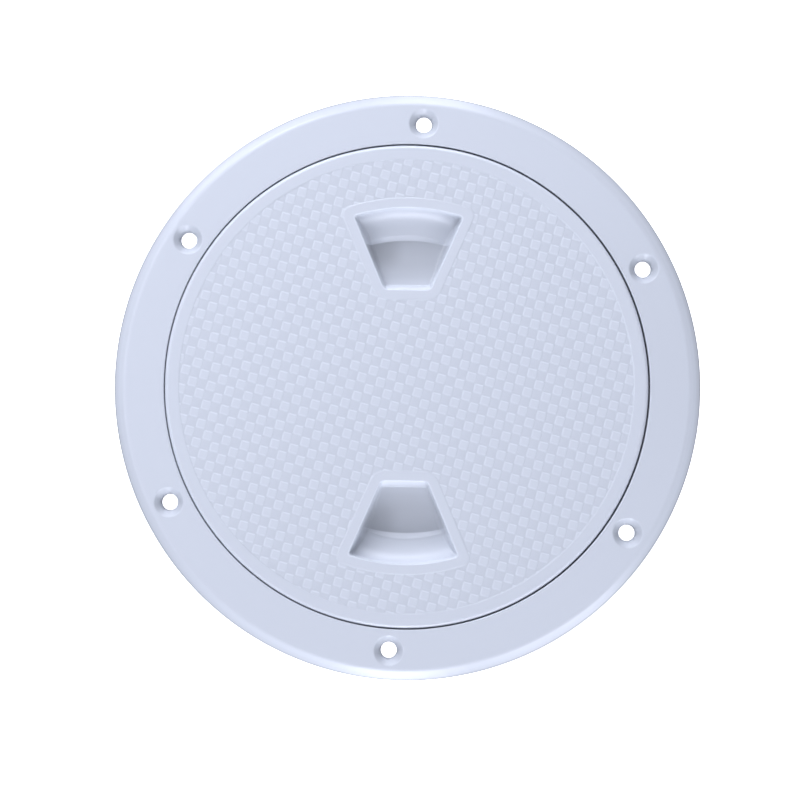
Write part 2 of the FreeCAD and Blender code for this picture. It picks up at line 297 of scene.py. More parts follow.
def build_frame():
    s = Sheet()
    we = WELL_EDGE
    # top: from the well's mouth to the foot of the roll-off
    radii = [WELL_R + we * (1 - math.cos(math.radians(a))) for a in (0, 12, 25, 38, 52, 66, 90)]
    radii = [r for r in radii]
    radii += [86.2, FLAT_R]
    inner_top = [r for r in radii if r > WELL_R + 0.02]
    loops = [ring_xy(r) for r in inner_top]
    for hx, hy in HOLES:
        for rr in (SINK_FOOT_R, 3.5, 4.1, 4.6, 4.78, 4.9, 5.02, 5.14, 5.26, 5.38, 5.52):
            loops.append(ring_xy(rr, 64, hx, hy))

    def keep(x, y):
        r = np.hypot(x, y)
        return (r > inner_top[0] - 0.004) & (r < FLAT_R) & (hole_distance(x, y) > SINK_FOOT_R - 0.01)

    relief(s, loops, [], [], flange_height, keep)

    # sloping edge: rounding, slope, rounding, upright lip
    t = math.radians(BEVEL)
    run, nrm = [(FLAT_R, FLANGE_T)], [(0.0, 1.0)]
    for a in np.linspace(0, t, 10)[1:]:
        run.append((FLAT_R + BEVEL_TOP_R * math.sin(a), FLANGE_T - BEVEL_TOP_R * (1 - math.cos(a))))
        nrm.append((math.sin(a), math.cos(a)))
    r1, z1 = run[-1]
    r2 = FLANGE_R - BEVEL_LIP_R * (1 - math.sin(t))
    lip = z1 - (r2 - r1) * math.tan(t) - BEVEL_LIP_R * math.cos(t)
    for f in (0.35, 0.6, 0.78, 0.9):
        run.append((r1 + (r2 - r1) * f, z1 - (r2 - r1) * f * math.tan(t)))
        nrm.append((math.sin(t), math.cos(t)))
    for a in np.linspace(t, math.pi / 2, 10):
        run.append((FLANGE_R - BEVEL_LIP_R * (1 - math.sin(a)), lip + BEVEL_LIP_R * math.cos(a)))
        nrm.append((math.sin(a), math.cos(a)))
    turn_profile(s, run, nrm)
    turn_profile(s, [(FLANGE_R, lip), (FLANGE_R, 0.2)], [(1, 0), (1, 0)])
    k = math.sqrt(0.5)
    turn_profile(s, [(FLANGE_R, 0.2), (FLANGE_R - 0.2, 0)], [(k, -k), (k, -k)])

    # the mouth's rounding down to the well wall
    first = inner_top[0]
    ang = math.degrees(math.acos(1 - (first - WELL_R) / we))
    pts, nn = [], []
    for t in np.linspace(ang, 0, 5):
        pts.append((WELL_R + we * (1 - math.cos(math.radians(t))),
                    FLANGE_T - we * (1 - math.sin(math.radians(t)))))
        nn.append((-math.cos(math.radians(t)), math.sin(math.radians(t))))
    pts[0] = (first, float(flange_height(np.array([first]), np.array([0.0]))[0]))
    turn_profile(s, pts, nn)

    def straight(p, q, n):
        turn_profile(s, [p, q], [n, n])
    straight((WELL_R, FLANGE_T - we), (WELL_R, LEDGE_Z), (-1, 0))
    straight((WELL_R, LEDGE_Z), (COLLAR_IN_R + 0.4, LEDGE_Z), (0, 1))
    straight((COLLAR_IN_R + 0.4, LEDGE_Z), (COLLAR_IN_R, LEDGE_Z - 0.4), (-k, k))
    straight((COLLAR_IN_R, LEDGE_Z - 0.4), (COLLAR_IN_R, COLLAR_Z + 0.5), (-1, 0))
    straight((COLLAR_IN_R, COLLAR_Z + 0.5), (COLLAR_IN_R + 0.5, COLLAR_Z), (-k, -k))
    straight((COLLAR_IN_R + 0.5, COLLAR_Z), (COLLAR_OUT_R - 0.6, COLLAR_Z), (0, -1))
    straight((COLLAR_OUT_R - 0.6, COLLAR_Z), (COLLAR_OUT_R, COLLAR_Z + 0.6), (k, -k))
    straight((COLLAR_OUT_R, COLLAR_Z + 0.6), (COLLAR_OUT_R, SHOULDER_Z - 0.8), (1, 0))
    pts, nn = [], []
    for t in np.linspace(0, 90, 9):
        c_, s_ = math.cos(math.radians(t)), math.sin(math.radians(t))
        pts.append((COLLAR_OUT_R + 0.8 - 0.8 * c_, SHOULDER_Z - 0.8 + 0.8 * s_))
        nn.append((c_, -s_))
    turn_profile(s, pts, nn)
    straight((COLLAR_OUT_R + 0.8, SHOULDER_Z), (SHOULDER_R - 0.8, SHOULDER_Z), (0, -1))
    straight((SHOULDER_R - 0.8, SHOULDER_Z), (SHOULDER_R, SHOULDER_Z + 0.8), (k, -k))
    straight((SHOULDER_R, SHOULDER_Z + 0.8), (SHOULDER_R, 0), (1, 0))

    # underside of the flange and the walls of the screw holes
    loops = [ring_xy(SHOULDER_R), ring_xy(FLANGE_R - 0.2)]
    for hx, hy in HOLES:
        loops.append(ring_xy(SCREW_R, 64, hx, hy))
    relief(s, loops, [], [], lambda x, y: np.zeros(np.shape(x)),
           lambda x, y: (np.hypot(x, y) > SHOULDER_R) & (hole_distance(x, y) > SCREW_R - 0.01),
           flip=True)
    for hx, hy in HOLES:
        p = ring_xy(SINK_FOOT_R, 64, hx, hy)
        q = ring_xy(SCREW_R, 64, hx, hy)
        # the upper row follows the relief exactly
        co = np.vstack([np.column_stack([p, flange_height(p[:, 0], p[:, 1])]),
                        np.column_stack([q, np.zeros(64)])])
        n = np.column_stack([(np.array([hx, hy]) - p) / SINK_FOOT_R, np.full(64, 0.1)])
        faces = [[j, (j + 1) % 64, 64 + (j + 1) % 64, 64 + j] for j in range(64)]
        s.add(co, np.vstack([n, n]), faces)
    helix_ridge(s, COLLAR_IN_R, IN_CREST_R, IN_START_Z)
    return s.build("frame_shell")


# ---- cover ----------------------------------------------------------------------------
def recess_edges(x, y):
    """Distances past the inner edge, the sides and the outer arc, negative inside.
    Both recesses are alike, so y is folded."""
    x, y = np.abs(x), np.abs(y)
    d_in = REC_IN_Y - y
    d_side = (x - REC_IN_HALF - REC_SLOPE * (y - REC_IN_Y)) / math.hypot(1, REC_SLOPE)
    d_out = np.hypot(x, y) - REC_OUT_R
    return d_in, d_side, d_out


def outline(x, y, k):
    """Distance past the recess's outline, corners rounded by k."""
    d_in, d_side, d_out = recess_edges(x, y)
    return smax(smax(d_in, d_side, k), d_out, k)


def foot_line(x):
    """Radius and depth of the top of the foot slope.  It is widest in the middle
    and narrows more to one side; x counts towards the narrow side."""
    t = np.clip((x / 14.0) ** 2, 0, 1)
    w = 1.0 - np.where(x > 0, 0.75, 0.30) * t
    return (REC_FOOT_R + (REC_FOOT_TOP_R - REC_FOOT_R) * w,
            REC_D_OUT - (REC_D_OUT - REC_FOOT_TOP_D) * w)


def outer_wall_depth(r, x):
    """Depth of the outer wall and its foot at radius r."""
    top_r, top_d = foot_line(x)
    u = np.clip((r - top_r) / (REC_OUT_R - top_r), 0, 1)
    hollow = top_d * np.sqrt(np.maximum(1 - u * u, 0))
    slope = (REC_D_OUT - REC_FOOT_TOP_D) / (REC_FOOT_TOP_R - REC_FOOT_R)
    return np.where(r < top_r, top_d + (top_r - r) * slope, hollow)


def recess_depth(x, y, grow=0.0):
    """Depth of the recess below the cover's top, 0 outside.  grow moves every
    wall outwards, which gives the outside of the cup underneath."""
    d_in, d_side, d_out = recess_edges(x, y)
    ya, r = np.abs(y), np.hypot(x, y)
    slope = (REC_D_OUT - REC_D_IN) / (REC_FOOT_R - REC_IN_Y)
    floor = REC_D_IN + slope * (ya - REC_IN_Y)
    deep = smin(floor, outer_wall_depth(r - grow * 0.7, x * np.where(y > 0, 1.0, -1.0)), 0.2)
    deep = np.maximum(deep, 0.0)
    # steep side walls with a soft fillet, and the gentler inner wall
    side = np.maximum(-(d_side - grow) - 0.02, 0.0) / REC_DRAFT
    inner = np.maximum(-(d_in - grow * math.hypot(1, REC_IN_DRAFT)) - 0.02, 0.0) / REC_IN_DRAFT
    depth = smin(smin(side, deep, np.maximum(REC_FILLET * deep, 0.1)), inner, 0.7)
    # rounded mouth
    m = -(outline(x, y, 1.6) - grow) + REC_EDGE * 0.3
    v = np.clip(m / REC_EDGE, 0, 1)
    lip = REC_EDGE * (1 - np.sqrt(np.maximum(1 - v * v, 0))) + np.maximum(m - REC_EDGE, 0) / REC_DRAFT
    return np.where(m <= 0, 0.0, np.maximum(smin(lip, np.maximum(depth, 0.0), 0.12), 0.0))


CU, SU = math.cos(math.radians(TREAD_ANGLE_U)), math.sin(math.radians(TREAD_ANGLE_U))
CW, SW = math.cos(math.radians(TREAD_ANGLE_V)), math.sin(math.radians(TREAD_ANGLE_V))


def lattice(x, y):
    """Lattice place of a point: u along the rows, v down the columns."""
    return (x * CU + y * SU) / CELL_U + TREAD_U, (x * SW - y * CW) / CELL_V + TREAD_V


def unlattice(u, v):
    p, q = (u - TREAD_U) * CELL_U, (v - TREAD_V) * CELL_V
    det = -CU * CW - SU * SW
    return (-CW * p - SU * q) / det, (CU * q - SW * p) / det


def pad_distance(u, v, iu, iv):
    """Distance past the outline of the square in lattice place iu, iv."""
    qx = np.abs(u - iu) * CELL_U - (PAD_HALF - PAD_CORNER)
    qy = np.abs(v - iv) * CELL_V - (PAD_HALF - PAD_CORNER)
    return (np.hypot(np.maximum(qx, 0), np.maximum(qy, 0))
            + np.minimum(np.maximum(qx, qy), 0) - PAD_CORNER)


def pad_place(x, y):
    """Distance past the outline of the nearest tread square."""
    u, v = lattice(x, y)
    iu, iv = np.round(u), np.round(v)
    su, sv = np.where(u > iu, 1.0, -1.0), np.where(v > iv, 1.0, -1.0)
    even = np.mod(iu + iv, 2) < 0.5
    own = np.minimum(pad_distance(u, v, iu, iv), pad_distance(u, v, iu + su, iv + sv))
    beside = np.minimum(pad_distance(u, v, iu + su, iv), pad_distance(u, v, iu, iv + sv))
    return np.where(even, own, beside)


def pad_height(x, y):
    """Height of the tread squares above the field."""
    return PAD_H * step01(np.clip(0.5 - pad_place(x, y) / PAD_SLOPE, 0, 1))


def field_edges(x, y):
    """1 on the smooth border and on the smooth islands, 0 in the open field."""
    border = step01((np.hypot(x, y) - FIELD_R) / FIELD_EDGE + 0.5)
    isle = step01(-(outline(x, y, 3.6) - ISLAND) / FIELD_EDGE + 0.5)
    return np.maximum(border, isle)


def cover_height(x, y):
    r = np.hypot(x, y)
    high = field_edges(x, y) * FIELD_DEPTH
    low = COVER_TOP - FIELD_DEPTH
    z = low + np.maximum(high, np.where((high < FIELD_DEPTH - 0.02), pad_height(x, y), 0.0))
    z = z - recess_depth(x, y)
    u = np.clip((r - (RIM_R - RIM_EDGE)) / RIM_EDGE, 0, 1)
    return z - RIM_EDGE * (1 - np.sqrt(np.maximum(1 - u * u, 0)))


def cup_height(x, y):
    """Underside of the top plate and of the two finger cups."""
    d = recess_depth(x, y, REC_WALL)
    return np.minimum(PLATE_UNDER, COVER_TOP - d - REC_WALL)


def contour(level, k, n=132):
    """Closed line in plan where the recess outline's distance equals level."""
    cx, cy = 0.0, 48.0
    # denser near the corners
    th = np.linspace(0, 2 * np.pi, 2000, endpoint=False)
    lo, hi = np.zeros_like(th), np.full_like(th, 40.0)
    for _ in range(40):
        mid = 0.5 * (lo + hi)
        x, y = cx + mid * np.cos(th), cy + mid * np.sin(th)
        inside = outline(x, y, k) < level
        lo, hi = np.where(inside, mid, lo), np.where(inside, hi, mid)
    p = np.stack([cx + lo * np.cos(th), cy + lo * np.sin(th)], 1)
    d = np.roll(p, -1, 0) - p
    ln = np.hypot(d[:, 0], d[:, 1])
    t = np.arctan2(d[:, 1], d[:, 0])
    bend = np.abs(np.angle(np.exp(1j * (t - np.roll(t, 1)))))
    w = np.cumsum(ln + 2.2 * bend)
    w = np.concatenate([[0], w])
    pick = np.linspace(0, w[-1], n, endpoint=False)
    px = np.interp(pick, w, np.append(p[:, 0], p[0, 0]))
    py = np.interp(pick, w, np.append(p[:, 1], p[0, 1]))
    return np.stack([px, py], 1)


def both(lp):
    return [lp, lp * np.array([-1.0, -1.0])]


def inside_arc(r, margin, step=0.6):
    """Points along radius r that lie inside the recess by margin."""
    n = int(2 * 0.36 * r / step)
    a = np.linspace(-0.36, 0.36, n)
    x, y = r * np.sin(a), r * np.cos(a)
    ok = outline(x, y, 1.6) < -margin
    return np.stack([x[ok], y[ok]], 1)


def pad_outlines():
    """Plan outlines of the tread squares that show in the field."""
    lines = []
    k = int(FIELD_R / min(CELL_U, CELL_V)) + 3
    for iu in range(-k, k + 1):
        for iv in range(-k, k + 1):
            if (iu + iv) % 2:
                continue
            x0, y0 = unlattice(iu, iv)
            if math.hypot(x0, y0) > FIELD_R + 2.3:
                continue
            if float(outline(np.array([x0]), np.array([y0]), 3.6)[0]) < ISLAND - 2.4:
                continue
            inner = PAD_HALF - PAD_CORNER
            for off in (0.28, 0.14, 0.0, -0.14, -0.34, -0.64):
                corner = PAD_CORNER + off
                pts = []
                for qx, qy, a0 in ((1, 1, 0), (-1, 1, 90), (-1, -1, 180), (1, -1, 270)):
                    for a in (0, 45, 90):
                        t = math.radians(a0 + a)
                        pts.append((qx * inner + corner * math.cos(t),
                                    qy * inner + corner * math.sin(t)))
                p = np.array(pts)
                x, y = unlattice(iu + p[:, 0] / CELL_U, iv + p[:, 1] / CELL_V)
                lines.append(np.stack([x, y], 1))
    return lines


def field_place(p):
    """Positive inside the open field, in mm from its edge."""
    r = np.hypot(p[:, 0], p[:, 1])
    return np.minimum(FIELD_R - r, outline(p[:, 0], p[:, 1], 3.6) - ISLAND)


def build_cover():
    s = Sheet()
    loops = [ring_xy(RIM_R - RIM_EDGE)] + [ring_xy(FIELD_R + f) for f in (0.4, 0.2, 0.0, -0.2, -0.4)]
    for level in (-0.4, -0.2, 0.0, 0.2, 0.4):
        loops += both(contour(ISLAND + level, 3.6, 150))
    for level in (0.32, 0.2, 0.1, 0.0, -0.08, -0.15, -0.2, -0.25, -0.3, -0.36, -0.42, -0.5,
                  -0.62, -0.78, -0.98, -1.2, -1.45, -1.75, -2.1):
        loops += both(contour(level, 1.6, 176))
    lines, pts = [], []
    for r in (REC_FOOT_R - 0.3, REC_FOOT_R, REC_FOOT_R + 0.2, REC_FOOT_R + 0.4):
        p = inside_arc(r, 0.1, 0.45)
        lines += [p, p * np.array([-1.0, -1.0])]
    for off in (-0.2, 0.0, 0.3):
        a = np.linspace(-0.30, 0.30, 70)
        r = foot_line(REC_FOOT_TOP_R * np.sin(a))[0] + off
        x, y = r * np.sin(a), r * np.cos(a)
        ok = (outline(x, y, 1.6) < -0.1) & (r > REC_FOOT_R + 0.5)
        p = np.stack([x[ok], y[ok]], 1)
        lines += [p, p * np.array([-1.0, -1.0])]
    for r in np.arange(REC_FOOT_TOP_R + 0.8, REC_OUT_R - 1.9, 0.45):
        p = inside_arc(r, 2.3)
        pts += [p, p * np.array([-1.0, -1.0])]
    for yy in REC_IN_Y + np.array([1.6, 1.85, 2.02, 2.2, 2.45]):
        xs = np.arange(-9, 9.01, 0.5)
        p = np.stack([xs, np.full(xs.shape, yy)], 1)
        p = p[outline(xs, p[:, 1], 1.6) < -0.9]
        lines += [p, p * np.array([-1.0, -1.0])]
    for yy in np.arange(REC_IN_Y + 3.0, REC_FOOT_R - 0.6, 0.75):
        xs = np.arange(-20, 20.01, 0.75)
        p = np.stack([xs, np.full(xs.shape, yy)], 1)
        ok = (outline(p[:, 0], p[:, 1], 1.6) < -2.35) & (np.hypot(p[:, 0], p[:, 1]) < REC_FOOT_R - 0.6)
        p = p[ok]
        if len(p):
            pts += [p, p * np.array([-1.0, -1.0])]
    for lp in pad_outlines():
        f = field_place(lp)
        if f.min() > 0.25:
            loops.append(lp)
        elif f.max() > -0.1:
            keep_run, n = [], len(lp)
            for i in range(n):
                j = (i + 1) % n
                if f[i] > -0.12 and f[j] > -0.12:
                    lines.append(np.stack([lp[i], lp[j]]))
                elif f[i] > -0.12 or f[j] > -0.12:
                    a, b = (lp[i], lp[j]) if f[i] > f[j] else (lp[j], lp[i])
                    lo, hi = 0.0, 1.0
                    for _ in range(24):
                        m = 0.5 * (lo + hi)
                        if field_place((a + (b - a) * m)[None])[0] > -0.12:
                            lo = m
                        else:
                            hi = m
                    lines.append(np.stack([a, a + (b - a) * lo]))
    relief(s, loops, lines, np.concatenate(pts), cover_height,
           lambda x, y: np.hypot(x, y) < RIM_R - RIM_EDGE + 1)

    k = math.sqrt(0.5)
    run, nn = [], []
    for t in np.linspace(0, 90, 13):
        s_, c_ = math.sin(math.radians(t)), math.cos(math.radians(t))
        run.append((RIM_R - RIM_EDGE + RIM_EDGE * s_, COVER_TOP - RIM_EDGE + RIM_EDGE * c_))
        nn.append((s_, c_))
    turn_profile(s, run, nn)

    def straight(p, q, n):
        turn_profile(s, [p, q], [n, n])
    straight((RIM_R, COVER_TOP - RIM_EDGE), (RIM_R, RIM_UNDER + 0.3), (1, 0))
    straight((RIM_R, RIM_UNDER + 0.3), (RIM_R - 0.3, RIM_UNDER), (k, -k))
    straight((RIM_R - 0.3, RIM_UNDER), (STEP_R, RIM_UNDER), (0, -1))
    straight((STEP_R, RIM_UNDER), (STEP_R, STEP_Z + 0.2), (1, 0))
    straight((STEP_R, STEP_Z + 0.2), (STEP_R - 0.2, STEP_Z), (k, -k))
    straight((STEP_R - 0.2, STEP_Z), (SKIRT_R, STEP_Z), (0, -1))
    straight((SKIRT_R, STEP_Z), (SKIRT_R, SKIRT_Z + 0.5), (1, 0))
    straight((SKIRT_R, SKIRT_Z + 0.5), (SKIRT_R - 0.5, SKIRT_Z), (k, -k))
    straight((SKIRT_R - 0.5, SKIRT_Z), (SKIRT_IN_R, SKIRT_Z), (0, -1))
    straight((SKIRT_IN_R, SKIRT_Z), (SKIRT_IN_R, PLATE_UNDER - 1.5), (-1, 0))
    run, nn = [], []
    for t in np.linspace(0, 90, 9):
        s_, c_ = math.sin(math.radians(t)), math.cos(math.radians(t))
        run.append((SKIRT_IN_R - 1.5 + 1.5 * c_, PLATE_UNDER - 1.5 + 1.5 * s_))
        nn.append((-c_, -s_))
    turn_profile(s, run, nn)

    # underside with the two cups
    loops = [ring_xy(SKIRT_IN_R - 1.5)]
    for level in (REC_WALL + 0.5, REC_WALL + 0.3, REC_WALL + 0.1, REC_WALL - 0.05, REC_WALL - 0.2,
                  REC_WALL - 0.35, REC_WALL - 0.5, REC_WALL - 0.7, REC_WALL - 0.95,
                  REC_WALL - 1.3, REC_WALL - 1.7, REC_WALL - 2.2):
        loops += both(contour(level, 1.6, 120))
    pts = []
    for yy in np.arange(REC_IN_Y, REC_OUT_R, 1.0):
        xs = np.arange(-20, 20.01, 1.0)
        p = np.stack([xs, np.full(xs.shape, yy)], 1)
        p = p[outline(p[:, 0], p[:, 1], 1.6) < -0.3]
        if len(p):
            pts += [p, p * np.array([-1.0, -1.0])]
    relief(s, loops, [], np.concatenate(pts), cup_height,
           lambda x, y: np.hypot(x, y) < SKIRT_IN_R, flip=True)
    helix_ridge(s, SKIRT_R, OUT_CREST_R, OUT_START_Z)
    return s.build("cover_shell", COVER_TURN, (COVER_X, COVER_Y))


def painted_light_shade(ob, value, turn=0.0, shift=(0.0, 0.0)):
    """Stores painted light and shade at each point, worked out from its place."""
    me = ob.data
    co = np.empty(len(me.vertices) * 3)
    me.vertices.foreach_get("co", co)
    co = co.reshape(-1, 3) / MM
    c, s = math.cos(math.radians(-turn)), math.sin(math.radians(-turn))
    px, py = co[:, 0] - shift[0], co[:, 1] - shift[1]
    x, y, z = px * c - py * s, px * s + py * c, co[:, 2]
    layer = me.attributes.new("painted_light_shade", "FLOAT", "POINT")
    layer.data.foreach_set("value", value(x, y, z).astype(np.float32))


def toward(a, centre, power):
    """1 in the given direction round the plate, fading to 0 a quarter turn away."""
    return np.clip(np.cos(a - math.radians(centre)), 0, 1) ** power


def frame_painted_light_shade(x, y, z):
    """Painted shade and light: the countersinks and the foot of the sloping edge are painted darker, and painted light
    and shade drift by a few per cent round the flange."""
    d, r, a = hole_distance(x, y), np.hypot(x, y), np.arctan2(y, x)
    slope = step01((r - 98.0) / 1.0)
    # painted shade: the flat of the flange is darker on one side
    v = 1.0 - 0.045 * toward(a, 10, 4) * (1 - slope)
    # painted light and shade on the sloping edge, varying round the flange
    v = v + slope * (0.09 * toward(a, 12, 8) * (1 - step01((r - 99.8) / 1.4))
                     - 0.055 * toward(a, -48, 8) - 0.035 * toward(a, 135, 8)
                     - 0.035 * toward(a, 205, 8) + 0.045 * toward(a, -108, 12))
    # painted shade in the countersinks, strongest on their left and right sides
    h = np.round((a - math.radians(90)) / math.radians(60)) * math.radians(60) + math.radians(90)
    across = np.clip(np.abs(x - SCREW_PCD / 2 * np.cos(h)) / np.maximum(d, 0.1), 0, 1) ** 2
    sunk = np.where((d < SINK_R) & (z > 0.5), step01((SINK_R + 0.1 - d) / 0.5), 0.0)
    v = v - sunk * (0.03 + 0.12 * across)
    # painted shade: a dark line along the outermost edge of the flange
    v = v - 0.07 * step01((r - 100.1) / 0.9) - 0.24 * step01((r - 101.2) / 0.6)
    return np.where(z > 0.25, v, 1.0)


def cover_painted_light_shade(x, y, z):
    """Painted light and shade on the cover: painted highlights keep the squares' tops and rims pale, and painted shade
    makes the field between them and the floors of the finger recesses darker."""
    on_top = np.abs(z - cover_height(x, y)) < 0.05
    away = 1.0 - field_edges(x, y)
    r = np.hypot(x, y)
    d = pad_place(x, y)
    low = step01(d / 0.56 + 0.5)
    u, v = lattice(x, y)
    du, dv = u - np.round(u), v - np.round(v)
    # painted highlight on the squares' rims, different on each side, and painted shade in the field between the
    # squares
    rim_light_by_side = np.where(np.abs(dv) > np.abs(du), np.where(dv < 0, 0.130, 0.070), np.where(du < 0, 0.060, 0.0))
    rim_highlight = np.exp(-((d + 0.22) / 0.25) ** 2) * rim_light_by_side
    v = 1.0 + away * (0.006 - 0.044 * low + rim_highlight)
    # painted shadow along the foot of two sides of each square
    foot = np.where(np.abs(dv) > np.abs(du), np.where(dv > 0, 0.045, 0.0), np.where(du > 0, 0.045, 0.0))
    v = v - away * foot * np.exp(-((d - 0.2) / 0.15) ** 2)
    # painted highlight on the cover's rounded rim, stronger on one side
    v = v + (0.05 + 0.07 * toward(np.arctan2(y, x), 93, 2)) * step01((r - 82.4) / 0.6)
    # painted highlight along the rounded mouths of the recesses
    v = v + 0.12 * np.exp(-((outline(x, y, 1.6) + 0.02) / 0.22) ** 2)
    dep = recess_depth(x, y)
    ya = np.abs(y)
    d_in, d_side, _ = recess_edges(x, y)
    xs = x * np.where(y > 0, 1.0, -1.0)
    # painted shade: the recess floors get darker with depth and towards their outer end, darker still on one side, and
    # lighter near the inner edge
    floor = 1.0 - 0.15 * step01((dep - 1.2) / 3.0) - 0.09 * step01((ya - 36.5) / 7.0)
    floor = floor + 0.04 * step01((ya - 46.0) / 5.0) + 0.08 * (1 - step01((ya - 35.5) / 3.0))
    floor_side_shade = np.where(y > 0, 0.15, 0.10)
    floor = floor - floor_side_shade * step01((-x - 0.5) / 7.0) * step01((ya - 39.0) / 7.0)
    # painted light on the outer wall, and painted shade at its foot in the lower recess
    outer = 1.07 - np.where(y < 0, 0.13, 0.0) * (1 - step01((r - 52.8) / 1.4))
    t = step01((r - REC_FOOT_R + 0.1) / 0.35)
    mid = floor + (outer - floor) * t
    # painted highlight on one end of the foot slope in the upper recess
    mid = mid + np.where(y > 0, 0.15, 0.0) * np.exp(-((r - 52.3) / 0.9) ** 2 - ((x + 9.3) / 3.2) ** 2)
    # painted shade on the side walls and the corners beside them, with a little painted light beside one wall
    near = 1.0 - step01((-d_side - 0.6) / 3.0)
    mid = mid - near * step01(dep / 2.0) * np.where(t > 0.5, 0.08, np.where(x > 0, 0.05, np.where(y > 0, 0.01, -0.05)))
    inside = step01(dep / 0.8)
    v = v * (1 - inside) + mid * inside
    return np.where(on_top, v, 1.0)


frame_shell = build_frame()
painted_light_shade(frame_shell, frame_painted_light_shade)
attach(frame_shell, "frame")
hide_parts("frame_ring")

cover_shell = build_cover()
painted_light_shade(cover_shell, cover_painted_light_shade, COVER_TURN, (COVER_X, COVER_Y))
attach(cover_shell, "lid")
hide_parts("cover")

print("TRIS", {o.name: sum(len(p.vertices) - 2 for p in o.data.polygons)
               for o in (frame_shell, cover_shell)})


# ---- materials -------------------------------------------------------------------------
def socket(node, *names):
    for n in names:
        if n in node.inputs:
            return node.inputs[n]
    raise KeyError(names)


def plastic(name, tint, seed):
    """Glossy white moulded plastic: a slight cloudiness in the colour and a fine
    grain."""
    m = bpy.data.materials.new(name)
    m.use_nodes = True
    nt = m.node_tree
    bsdf = nt.nodes["Principled BSDF"]
    coord = nt.nodes.new("ShaderNodeTexCoord")
    cloud = nt.nodes.new("ShaderNodeTexNoise")
    cloud.inputs["Scale"].default_value = 22.0
    cloud.inputs["Detail"].default_value = 1.0
    cloud.inputs["Distortion"].default_value = 0.3
    mapping = nt.nodes.new("ShaderNodeMapping")
    mapping.inputs["Location"].default_value = (seed, seed * 0.37, 0.0)
    nt.links.new(coord.outputs["Object"], mapping.inputs["Vector"])
    nt.links.new(mapping.outputs["Vector"], cloud.inputs["Vector"])
    ramp = nt.nodes.new("ShaderNodeValToRGB")
    ramp.color_ramp.elements[0].position = 0.0
    ramp.color_ramp.elements[1].position = 1.0
    ramp.color_ramp.elements[0].color = (tint[0] * 0.992, tint[1] * 0.993, tint[2] * 0.995, 1)
    ramp.color_ramp.elements[1].color = (tint[0], tint[1], tint[2], 1)
    nt.links.new(cloud.outputs["Fac"], ramp.inputs["Fac"])
    # the base colour is multiplied by the painted light and shade stored on the mesh
    painted_shade_attr = nt.nodes.new("ShaderNodeAttribute")
    painted_shade_attr.attribute_name = "painted_light_shade"
    scale = nt.nodes.new("ShaderNodeVectorMath")
    scale.operation = "SCALE"
    nt.links.new(ramp.outputs["Color"], scale.inputs["Vector"])
    nt.links.new(painted_shade_attr.outputs["Fac"], socket(scale, "Scale"))
    nt.links.new(scale.outputs["Vector"], bsdf.inputs["Base Color"])
    bsdf.inputs["Roughness"].default_value = 0.285
    grain = nt.nodes.new("ShaderNodeTexNoise")
    grain.inputs["Scale"].default_value = 2600.0
    grain.inputs["Detail"].default_value = 2.0
    nt.links.new(mapping.outputs["Vector"], grain.inputs["Vector"])
    bump1 = nt.nodes.new("ShaderNodeBump")
    bump1.inputs["Strength"].default_value = 0.10
    bump1.inputs["Distance"].default_value = 0.00002
    nt.links.new(grain.outputs["Fac"], bump1.inputs["Height"])
    nt.links.new(bump1.outputs["Normal"], bsdf.inputs["Normal"])
    socket(bsdf, "IOR").default_value = 1.50
    socket(bsdf, "Subsurface Weight").default_value = 0.0
    return m


def rubber(name):
    m = bpy.data.materials.new(name)
    m.use_nodes = True
    nt = m.node_tree
    bsdf = nt.nodes["Principled BSDF"]
    coord = nt.nodes.new("ShaderNodeTexCoord")
    noise = nt.nodes.new("ShaderNodeTexNoise")
    noise.inputs["Scale"].default_value = 900.0
    noise.inputs["Detail"].default_value = 4.0
    nt.links.new(coord.outputs["Object"], noise.inputs["Vector"])
    ramp = nt.nodes.new("ShaderNodeValToRGB")
    ramp.color_ramp.elements[0].color = (0.012, 0.012, 0.013, 1)
    ramp.color_ramp.elements[1].color = (0.028, 0.028, 0.030, 1)
    nt.links.new(noise.outputs["Fac"], ramp.inputs["Fac"])
    nt.links.new(ramp.outputs["Color"], bsdf.inputs["Base Color"])
    rr = nt.nodes.new("ShaderNodeMapRange")
    rr.inputs["To Min"].default_value = 0.55
    rr.inputs["To Max"].default_value = 0.75
    nt.links.new(noise.outputs["Fac"], rr.inputs["Value"])
    nt.links.new(rr.outputs["Result"], bsdf.inputs["Roughness"])
    bump = nt.nodes.new("ShaderNodeBump")
    bump.inputs["Strength"].default_value = 0.2
    bump.inputs["Distance"].default_value = 0.00005
    nt.links.new(noise.outputs["Fac"], bump.inputs["Height"])
    nt.links.new(bump.outputs["Normal"], bsdf.inputs["Normal"])
    return m


TINT = (0.68, 0.71, 0.755)
frame_shell.data.materials.append(plastic("frame_white_plastic", TINT, 0.31))
cover_shell.data.materials.append(plastic("cover_white_plastic", TINT, 0.87))
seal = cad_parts["o_ring"]
seal.data.materials.clear()
seal.data.materials.append(rubber("seal_black_rubber"))
for p in seal.data.polygons:
    p.use_smooth = True


